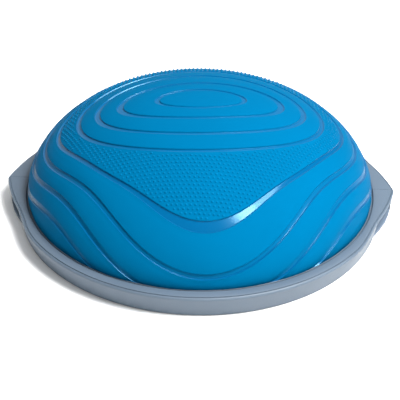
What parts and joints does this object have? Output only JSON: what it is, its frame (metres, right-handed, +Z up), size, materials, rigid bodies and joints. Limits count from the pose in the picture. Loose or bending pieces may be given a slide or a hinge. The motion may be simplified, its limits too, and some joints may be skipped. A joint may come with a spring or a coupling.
{
  "type": "balance dome trainer",
  "caption": "Half-dome balance trainer: an inflated ribbed bladder clamped by a two-piece grip-ear ring to a flat platform on rubber feet.",
  "frame": {"origin": "centre of the round platform, on the floor plane under the feet", "axes": "+Z up through the dome's crown, +X along the line of the two grip ears, -Y the front"},
  "size_m": [0.634, 0.5998, 0.1946],
  "materials": {
    "pvc_blue": "glossy soft PVC",
    "shell_grey": "fine satin moulded texture",
    "platform_grey": "satin moulded",
    "rubber_black": "matte",
    "steel": "zinc plated",
    "valve_white": "soft satin"
  },
  "bodies": {
    "base": {"base_platform": "platform_grey", "rim_ring_front": "shell_grey", "rim_ring_back": "shell_grey", "ring_screws": "steel", "foot_1": "rubber_black", "foot_2": "rubber_black", "foot_3": "rubber_black", "foot_4": "rubber_black", "foot_5": "rubber_black", "foot_6": "rubber_black", "foot_7": "rubber_black", "foot_8": "rubber_black", "valve_seat": "valve_white"},
    "bladder": {"dome_bladder": "pvc_blue"},
    "plug": {"valve_plug": "valve_white"}
  },
  "joints": [
    {"name": "dome_press", "type": "slide", "parent": "base", "child": "bladder", "axis": [0, 0, -1], "range_m": [0, 0.06], "stiffness_N_per_m": 12000, "springref_m": -0.003, "deforming": ["dome_bladder"]},
    {"name": "valve_pull", "type": "slide", "parent": "base", "child": "plug", "axis": [0, 0, -1], "range_m": [0, 0.02]}
  ]
}
